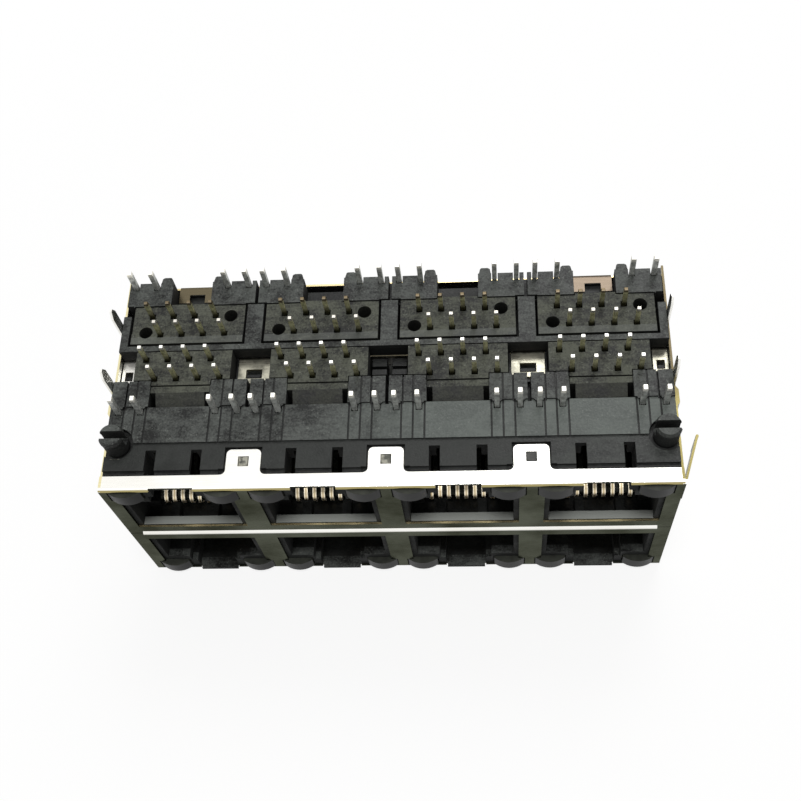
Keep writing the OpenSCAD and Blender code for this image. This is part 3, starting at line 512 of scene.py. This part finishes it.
def shield_sheet():
    """Nickel-plated brass of the outer shields: plated faces, brass where the strip was cut with painted shade on
    some cuts, and bright blades.
    """
    sheet = Finish("nickel_plated_brass_shield")
    tops = sheet.tops()
    colour = plated_faces(sheet)
    back_cut = sheet.above(sheet.depth, BACK_WALL_MM), sheet.below(sheet.z, BACK_TOP_MM)
    colour = sheet.paint(colour, CUT_BRASS, *back_cut, tops)

    # Painted shade: cut edges in front are dark, except the sill tops, which show brass.
    edge_tone = sheet.paint(DARK_SHADE, CUT_BRASS, tops, sheet.between(sheet.z, *SILL_LEVELS_MM))
    front_cut = sheet.below(sheet.depth, CUT_DEPTH_MM), sheet.below(sheet.z, CUT_UNDER_MM)
    turned_away = sheet.below(sheet.forward, TURNED)
    colour = sheet.paint(colour, edge_tone, *front_cut, turned_away)
    bend = sheet.below(sheet.depth, BEND_DEPTH_MM), sheet.above(sheet.z, BEND_FROM_MM)
    colour = sheet.paint(colour, BEND_YELLOW, *bend, sheet.between(sheet.up, *BEND_UP))

    # Painted shade: cuts on the right olive, and brown towards the back.
    right = sheet.above(sheet.x, 0.0)
    cut_tone = sheet.paint(CUT_PALE, CUT_SHADE_OLIVE, right)
    cut_tone = sheet.paint(cut_tone, CUT_SHADE_BROWN, right, sheet.above(sheet.depth, BROWN_SHADE_FROM_MM, soft=4.0))
    from_middle = add(sheet.tree, "Math", {"operation": "ABSOLUTE"}, _0=sheet.x).outputs[0]
    under_top = sheet.below(sheet.z, FLANGE_TOP_MM)
    wall_top = sheet.above(from_middle, SIDE_WALL_MM), under_top, sheet.above(sheet.depth, BEND_DEPTH_MM)
    colour = sheet.paint(colour, cut_tone, *wall_top, tops)
    flange_cut = sheet.above(sheet.z, FLANGE_UNDER_MM), under_top, sheet.below(sheet.level, TURNED)
    colour = sheet.paint(colour, cut_tone, *flange_cut, turned_away)

    blade_tone = sheet.mottled(BLADE_BLOTCH_MM, BLADE_DULL, BLADE_BRIGHT, low=0.4, high=0.6)
    blade = sheet.above(sheet.z, FLANGE_TOP_MM), sheet.above(sheet.side, TURNED)
    colour = sheet.paint(colour, blade_tone, *blade)
    return sheet.done(rolled_metal(sheet, colour, smooth=0.18, rough=0.34))


shield_metal = shield_sheet()

# %% [markdown]
# ## The inner shield
# A third sheet of the same strip lies between the two rows. Its front edge is rolled round, bright in front with
# painted shade underneath, and it ends at the back in an upright with hooks, which show in the bays between the
# inserts. The hooks are painted in dim and pale blotches, bright at the left end, as a painted reflection, and the
# upright's cut edges are pale brass.

# %% Inner shield
ROLL_DEPTH_MM = 1.2
UNDER_ROLL_UP = 0.05
FLAT_UP = 0.9
HOOKS_FROM_MM = 13.0
HOOKS_OVER_MM = 23.0
HOOK_BLOTCH_MM = 1.6
BRIGHT_HOOK_UNDER_MM = -28.0
HOOK_CUT_DEPTH_MM = 16.8
UPRIGHT_TOP_MM = (23.25, 23.35)
UPRIGHT_DEPTH_MM = 17.35
# Painted reflection on the hooks: dim and pale blotches, bright at the left end.
HOOK_DIM_REFLECTION, HOOK_PALE_REFLECTION = "#838175", "#b9b6a5"


def inner_sheet():
    """Nickel-plated brass between the rows: bright roll with painted shade under it, hooks with a painted reflection,
    brass on the upright's cut edges.
    """
    sheet = Finish("nickel_plated_brass_inner_sheet")
    colour = sheet.mottled(STAIN_MM, NICKEL_STAINED, NICKEL)
    # Painted shade under the roll.
    under_roll = sheet.below(sheet.depth, ROLL_DEPTH_MM), sheet.below(sheet.up, UNDER_ROLL_UP, soft=0.5)
    colour = sheet.paint(colour, DIM_SHADE, *under_roll)

    # Painted reflection on the hooks.
    hook_reflection = sheet.mottled(HOOK_BLOTCH_MM, HOOK_DIM_REFLECTION, HOOK_PALE_REFLECTION, low=0.4, high=0.6)
    hook_reflection = sheet.paint(hook_reflection, NICKEL_STAINED, sheet.below(sheet.x, BRIGHT_HOOK_UNDER_MM))
    hooks = sheet.every(sheet.above(sheet.z, HOOKS_OVER_MM), sheet.above(sheet.depth, HOOKS_FROM_MM))
    colour = sheet.paint(colour, hook_reflection, hooks)
    hook_cut = sheet.below(sheet.up, TURNED), sheet.below(sheet.depth, HOOK_CUT_DEPTH_MM)
    colour = sheet.paint(colour, CUT_PALE, hooks, *hook_cut)
    top_cut = sheet.between(sheet.z, *UPRIGHT_TOP_MM), sheet.above(sheet.depth, UPRIGHT_DEPTH_MM)
    colour = sheet.paint(colour, CUT_PALE, *top_cut, sheet.above(sheet.up, FLAT_UP))
    return sheet.done(rolled_metal(sheet, colour, smooth=0.22, rough=0.38))


inner_metal = inner_sheet()

# %% [markdown]
# ## Contact wires
# A contact is phosphor bronze. It is gold-plated only near its fold, where a plug touches it, bare behind that, and
# tinned where it is soldered. The bare bronze deep in the port is painted nearly black, the foot of each pin's shaft
# darker and the tips farthest back brown, all as painted shade. Each change of tone is a mask on depth or height.
# Along the middle of a wire the gold is painted darker, a painted dim reflection. The distance from that middle
# comes from X: first its remainder within a column of ports, then a zigzag with the pitch of the contacts.

# %% Contact wires
COLUMN_PITCH_MM = 15.875
CONTACT_PITCH_MM = 1.016
CONTACT_HALF_MM = 0.225
MIDDLE_SHARE = 0.4  # of half a wire's width
DIM_MIDDLE_FROM_MM = 2.5
GOLD_ENDS_MM = 5.2
SHAFT_FROM_MM = 24.5
FOOT_ENDS_MM = 26.9
TIP_FROM_MM = 28.55
SHADED_TIPS_FROM_MM = 20.0
SHAFT_BLOTCH_MM = 0.6
# Painted dim reflection on the gold's middle; painted shade on deep bronze, at the shafts' feet and on the rear tips.
GOLD_LIGHT, GOLD_DIM_REFLECTION = "#fff4dc", "#cfbb92"
SHADED_BRONZE = "#0b0906"
OLIVE, OLIVE_DARK, SHAFT_FOOT_SHADE = "#f4f1c6", "#b5b28c", "#55533d"
TIN, TIN_SHADED = "#f6f4ec", "#6b5f4a"


def contact_wire():
    """Bronze wire: gold near the fold with a painted dim reflection, painted shade behind it, olive shaft and tin
    tip, both shaded in part.
    """
    wire = Finish("gold_and_tin_plated_bronze")
    in_column = add(wire.tree, "Math", {"operation": "FLOORED_MODULO"}, _0=wire.x, _1=COLUMN_PITCH_MM).outputs[0]
    shift = (CONTACT_PITCH_MM - COLUMN_PITCH_MM) / 2
    along = add(wire.tree, "Math", {"operation": "ADD"}, _0=in_column, _1=shift).outputs[0]
    from_wire = add(wire.tree, "Math", {"operation": "PINGPONG"}, _0=along, _1=CONTACT_PITCH_MM / 2).outputs[0]
    # Painted dim reflection along the middle of each wire.
    wire_middle = wire.below(from_wire, MIDDLE_SHARE * CONTACT_HALF_MM, soft=0.1)
    gold = wire.paint(GOLD_LIGHT, GOLD_DIM_REFLECTION, wire_middle, wire.above(wire.depth, DIM_MIDDLE_FROM_MM, soft=0.3))

    # Painted shade: the bronze deep in the port nearly black.
    behind_gold = wire.above(wire.depth, GOLD_ENDS_MM, soft=1.2)
    deep_bronze = wire.every(behind_gold, wire.below(wire.z, SHAFT_FROM_MM, soft=1.0))
    colour = wire.paint(gold, SHADED_BRONZE, deep_bronze)
    olive = wire.mottled(SHAFT_BLOTCH_MM, OLIVE_DARK, OLIVE, low=0.35, high=0.6)
    # Painted shade at the foot of the shaft.
    olive = wire.paint(SHAFT_FOOT_SHADE, olive, wire.above(wire.z, FOOT_ENDS_MM, soft=1.2))
    colour = wire.paint(colour, olive, wire.above(wire.z, SHAFT_FROM_MM, soft=1.0))
    # Painted shade on the tips farthest back.
    tin = wire.paint(TIN, TIN_SHADED, wire.above(wire.depth, SHADED_TIPS_FROM_MM, soft=4.4))
    colour = wire.paint(colour, tin, wire.above(wire.z, TIP_FROM_MM, soft=0.3))
    return wire.done(rolled_metal(wire, colour, smooth=0.35, rough=0.55, tarnish=deep_bronze))


contact_metal = contact_wire()

# %% [markdown]
# ## Lamp leads
# The lamps stand on square wires of tinned steel. Hot tin runs over them in soft blotches and gathers at the tips,
# which are brighter. One mottled tone and one mask on height are enough for so thin a wire.

# %% Lamp leads
LEAD_BLOTCH_MM = 0.7
LEAD_TIP_FROM_MM = 28.75
TIN_DULL, TIN_DARK = "#d6d8d4", "#9b9d99"


def lead_wire():
    """Tinned steel wire with bright dipped tips."""
    wire = Finish("tinned_steel_lead")
    colour = wire.mottled(LEAD_BLOTCH_MM, TIN_DARK, TIN_DULL)
    colour = wire.paint(colour, TIN, wire.above(wire.z, LEAD_TIP_FROM_MM, soft=0.3))
    return wire.done(rolled_metal(wire, colour, smooth=0.45, rough=0.65))


lead_metal = lead_wire()

# %% [markdown]
# ## Lamps
# Each lamp is a small block of smoke-tinted epoxy, cast with a rounded front. It lets light in only a little way,
# so an opaque dark body reads the same as a clear one with absorption, and renders faster. The body is cloudy, and
# painted shade makes it dark in front, so it reads paler on top, where light gets in. The front is seen at a low
# angle, where resin would flare white, so its reflection is held down.

# %% Smoky epoxy
RESIN_CLOUD_MM = 1.5
RESIN_FRONT = 0.45
RESIN_DARK, RESIN_PALE = "#10110f", "#4a4c45"


def smoky_epoxy():
    """Dark translucent resin: cloudy, with painted shade that makes it dark towards its front."""
    resin = Finish("smoke_tinted_epoxy")
    body = resin.paint(RESIN_DARK, RESIN_PALE, resin.noise(RESIN_CLOUD_MM, detail=2.0))
    # Painted shade on the front.
    colour = resin.paint(body, RESIN_DARK, resin.above(resin.forward, RESIN_FRONT, soft=0.5))
    return resin.done(
        add(resin.tree, "BsdfPrincipled", Base_Color=colour, Roughness=0.35, IOR=1.52, Specular_IOR_Level=0.08)
    )


lamp_resin = smoky_epoxy()

# %% [markdown]
# ## Giving each part its finish
# The CAD frame names every part, and the start of a name says what the part is, so a short table of beginnings
# and materials dresses all of them.

# %% Assign the materials
FINISHES = {
    "housing": housing_plastic,
    "board_insert": insert_plastic,
    "cover_insert": insert_plastic,
    "front_shield": shield_metal,
    "cover_shield": shield_metal,
    "inner_shield": inner_metal,
    "board_contacts": contact_metal,
    "cover_contacts": contact_metal,
    "board_lamp": lamp_resin,
    "cover_lamp": lamp_resin,
    "board_leads": lead_metal,
    "cover_leads": lead_metal,
}

for name, part in nodes.items():
    finish = next(material for start, material in FINISHES.items() if name.startswith(start))
    part.data.materials.clear()
    part.data.materials.append(finish)
print("dressed parts:", len(nodes), "with", len(set(FINISHES.values())), "materials")

# %% [markdown]
# ## Floor
# A product shot on white needs a floor that reads as white and still takes the block's shadow. Brighter lamps
# would bleach the metal, so the white comes from the floor's material instead: rays from the camera and rays
# reflected by metal or glass see mostly plain white, and only part of the shading, which is where the shadow is.
# That part fades out with the distance from the block, so no line shows where the floor ends. Light that the floor
# bounces to the block is held down, because a studio table is small.

# %% Floor
FLOOR_SIDE_M = 3.0
FLOOR_WHITE = "#fbfbfa"
FLOOR_BOUNCE = "#8c8c8a"
PLAIN_WHITE = "#ffffff"
SHADOW_SHARE = 0.2
SHADOW_ENDS_M = (0.04, 0.11)
SEEN_RAYS = ("Is Camera Ray", "Is Glossy Ray", "Is Transmission Ray")


def seen_directly(tree):
    """1 for rays from the camera and for reflected and transmitted rays, otherwise 0."""
    path = add(tree, "LightPath").outputs
    seen = 0.0
    for ray in SEEN_RAYS:
        seen = add(tree, "Math", {"operation": "MAXIMUM"}, _0=seen, _1=path[ray]).outputs[0]
    return seen


def floor_material():
    """Matt white floor that shows plain white with a share of its shading, and bounces less light than it shows."""
    material, tree = new_material("matt_white_floor")
    seen = seen_directly(tree)
    tone = add(tree, "Mix", {"data_type": "RGBA"}, _0=seen, _6=FLOOR_BOUNCE, _7=FLOOR_WHITE).outputs[2]
    matt = add(tree, "BsdfDiffuse", Color=tone).outputs["BSDF"]
    glow = add(tree, "Emission", Color=PLAIN_WHITE, Strength=1.0).outputs["Emission"]
    point = add(tree, "TexCoord").outputs["Object"]
    distance = add(tree, "VectorMath", {"operation": "LENGTH"}, _0=point).outputs["Value"]
    near, far = SHADOW_ENDS_M
    plain = add(tree, "MapRange", Value=distance, From_Min=near, From_Max=far, To_Min=1 - SHADOW_SHARE, To_Max=1.0)
    share = add(tree, "Math", {"operation": "MULTIPLY"}, _0=seen, _1=plain.outputs["Result"]).outputs[0]
    both = add(tree, "MixShader", Fac=share, _1=matt, _2=glow)
    add(tree, "OutputMaterial", Surface=both.outputs["Shader"])
    return material


def add_floor():
    """Square floor under the block, at its lowest level."""
    half = FLOOR_SIDE_M / 2
    mesh = bpy.data.meshes.new("floor")
    corners = [(x, y, cad_low.z) for x, y in ((-half, -half), (half, -half), (half, half), (-half, half))]
    mesh.from_pydata(corners, [], [(0, 1, 2, 3)])
    mesh.materials.append(floor_material())
    floor = bpy.data.objects.new("floor", mesh)
    bpy.context.scene.collection.objects.link(floor)
    return floor


floor = add_floor()
print("the floor is", FLOOR_SIDE_M, "m wide, of", floor.data.materials[0].name)

# %% [markdown]
# ## Lamps and surroundings
# The key lamp hangs almost overhead and a little in front, so it reaches only the mouth of a port. A broad panel
# behind and to the right gives the plastic its sheen, and the world is a gentle fill. Their power is set so that a
# white surface that faces up comes out just about white, and a colour renders about as it is written.

# %% Light the block
WORLD_FILL = 0.34
PANELS = {  # place in metres, width and depth in metres, and watts
    "key_panel": ((0.012, -0.072, 0.6), (0.14, 0.14), 1.75),
    "sheen_panel": ((0.13, 0.45, 0.6), (0.36, 0.3), 1.6),
}


def add_panel(name, place, size, watts):
    """Soft rectangular lamp at a place that points at the middle of the block."""
    data = bpy.data.lights.new(name, "AREA")
    data.shape = "RECTANGLE"
    data.size, data.size_y = size
    data.energy = watts
    panel = bpy.data.objects.new(name, data)
    panel.location = place
    panel.rotation_mode = "QUATERNION"
    panel.rotation_quaternion = (-panel.location).to_track_quat("-Z", "Y")
    bpy.context.scene.collection.objects.link(panel)


def set_world():
    """Even pale surroundings: a gentle fill for the block, and plain white to the camera and in reflections."""
    world = bpy.data.worlds.new("studio")
    world.use_nodes = True
    tree = world.node_tree
    tree.nodes.clear()
    strength = add(tree, "MapRange", Value=seen_directly(tree), To_Min=WORLD_FILL, To_Max=1.0).outputs["Result"]
    back = add(tree, "Background", Color=PLAIN_WHITE, Strength=strength)
    add(tree, "OutputWorld", Surface=back.outputs["Background"])
    bpy.context.scene.world = world


for name, (place, size, watts) in PANELS.items():
    add_panel(name, place, size, watts)
set_world()
bpy.context.scene.view_settings.view_transform = "Standard"
print("lamps:", [lamp.name for lamp in bpy.data.lights])

# %% [markdown]
# ## Closing
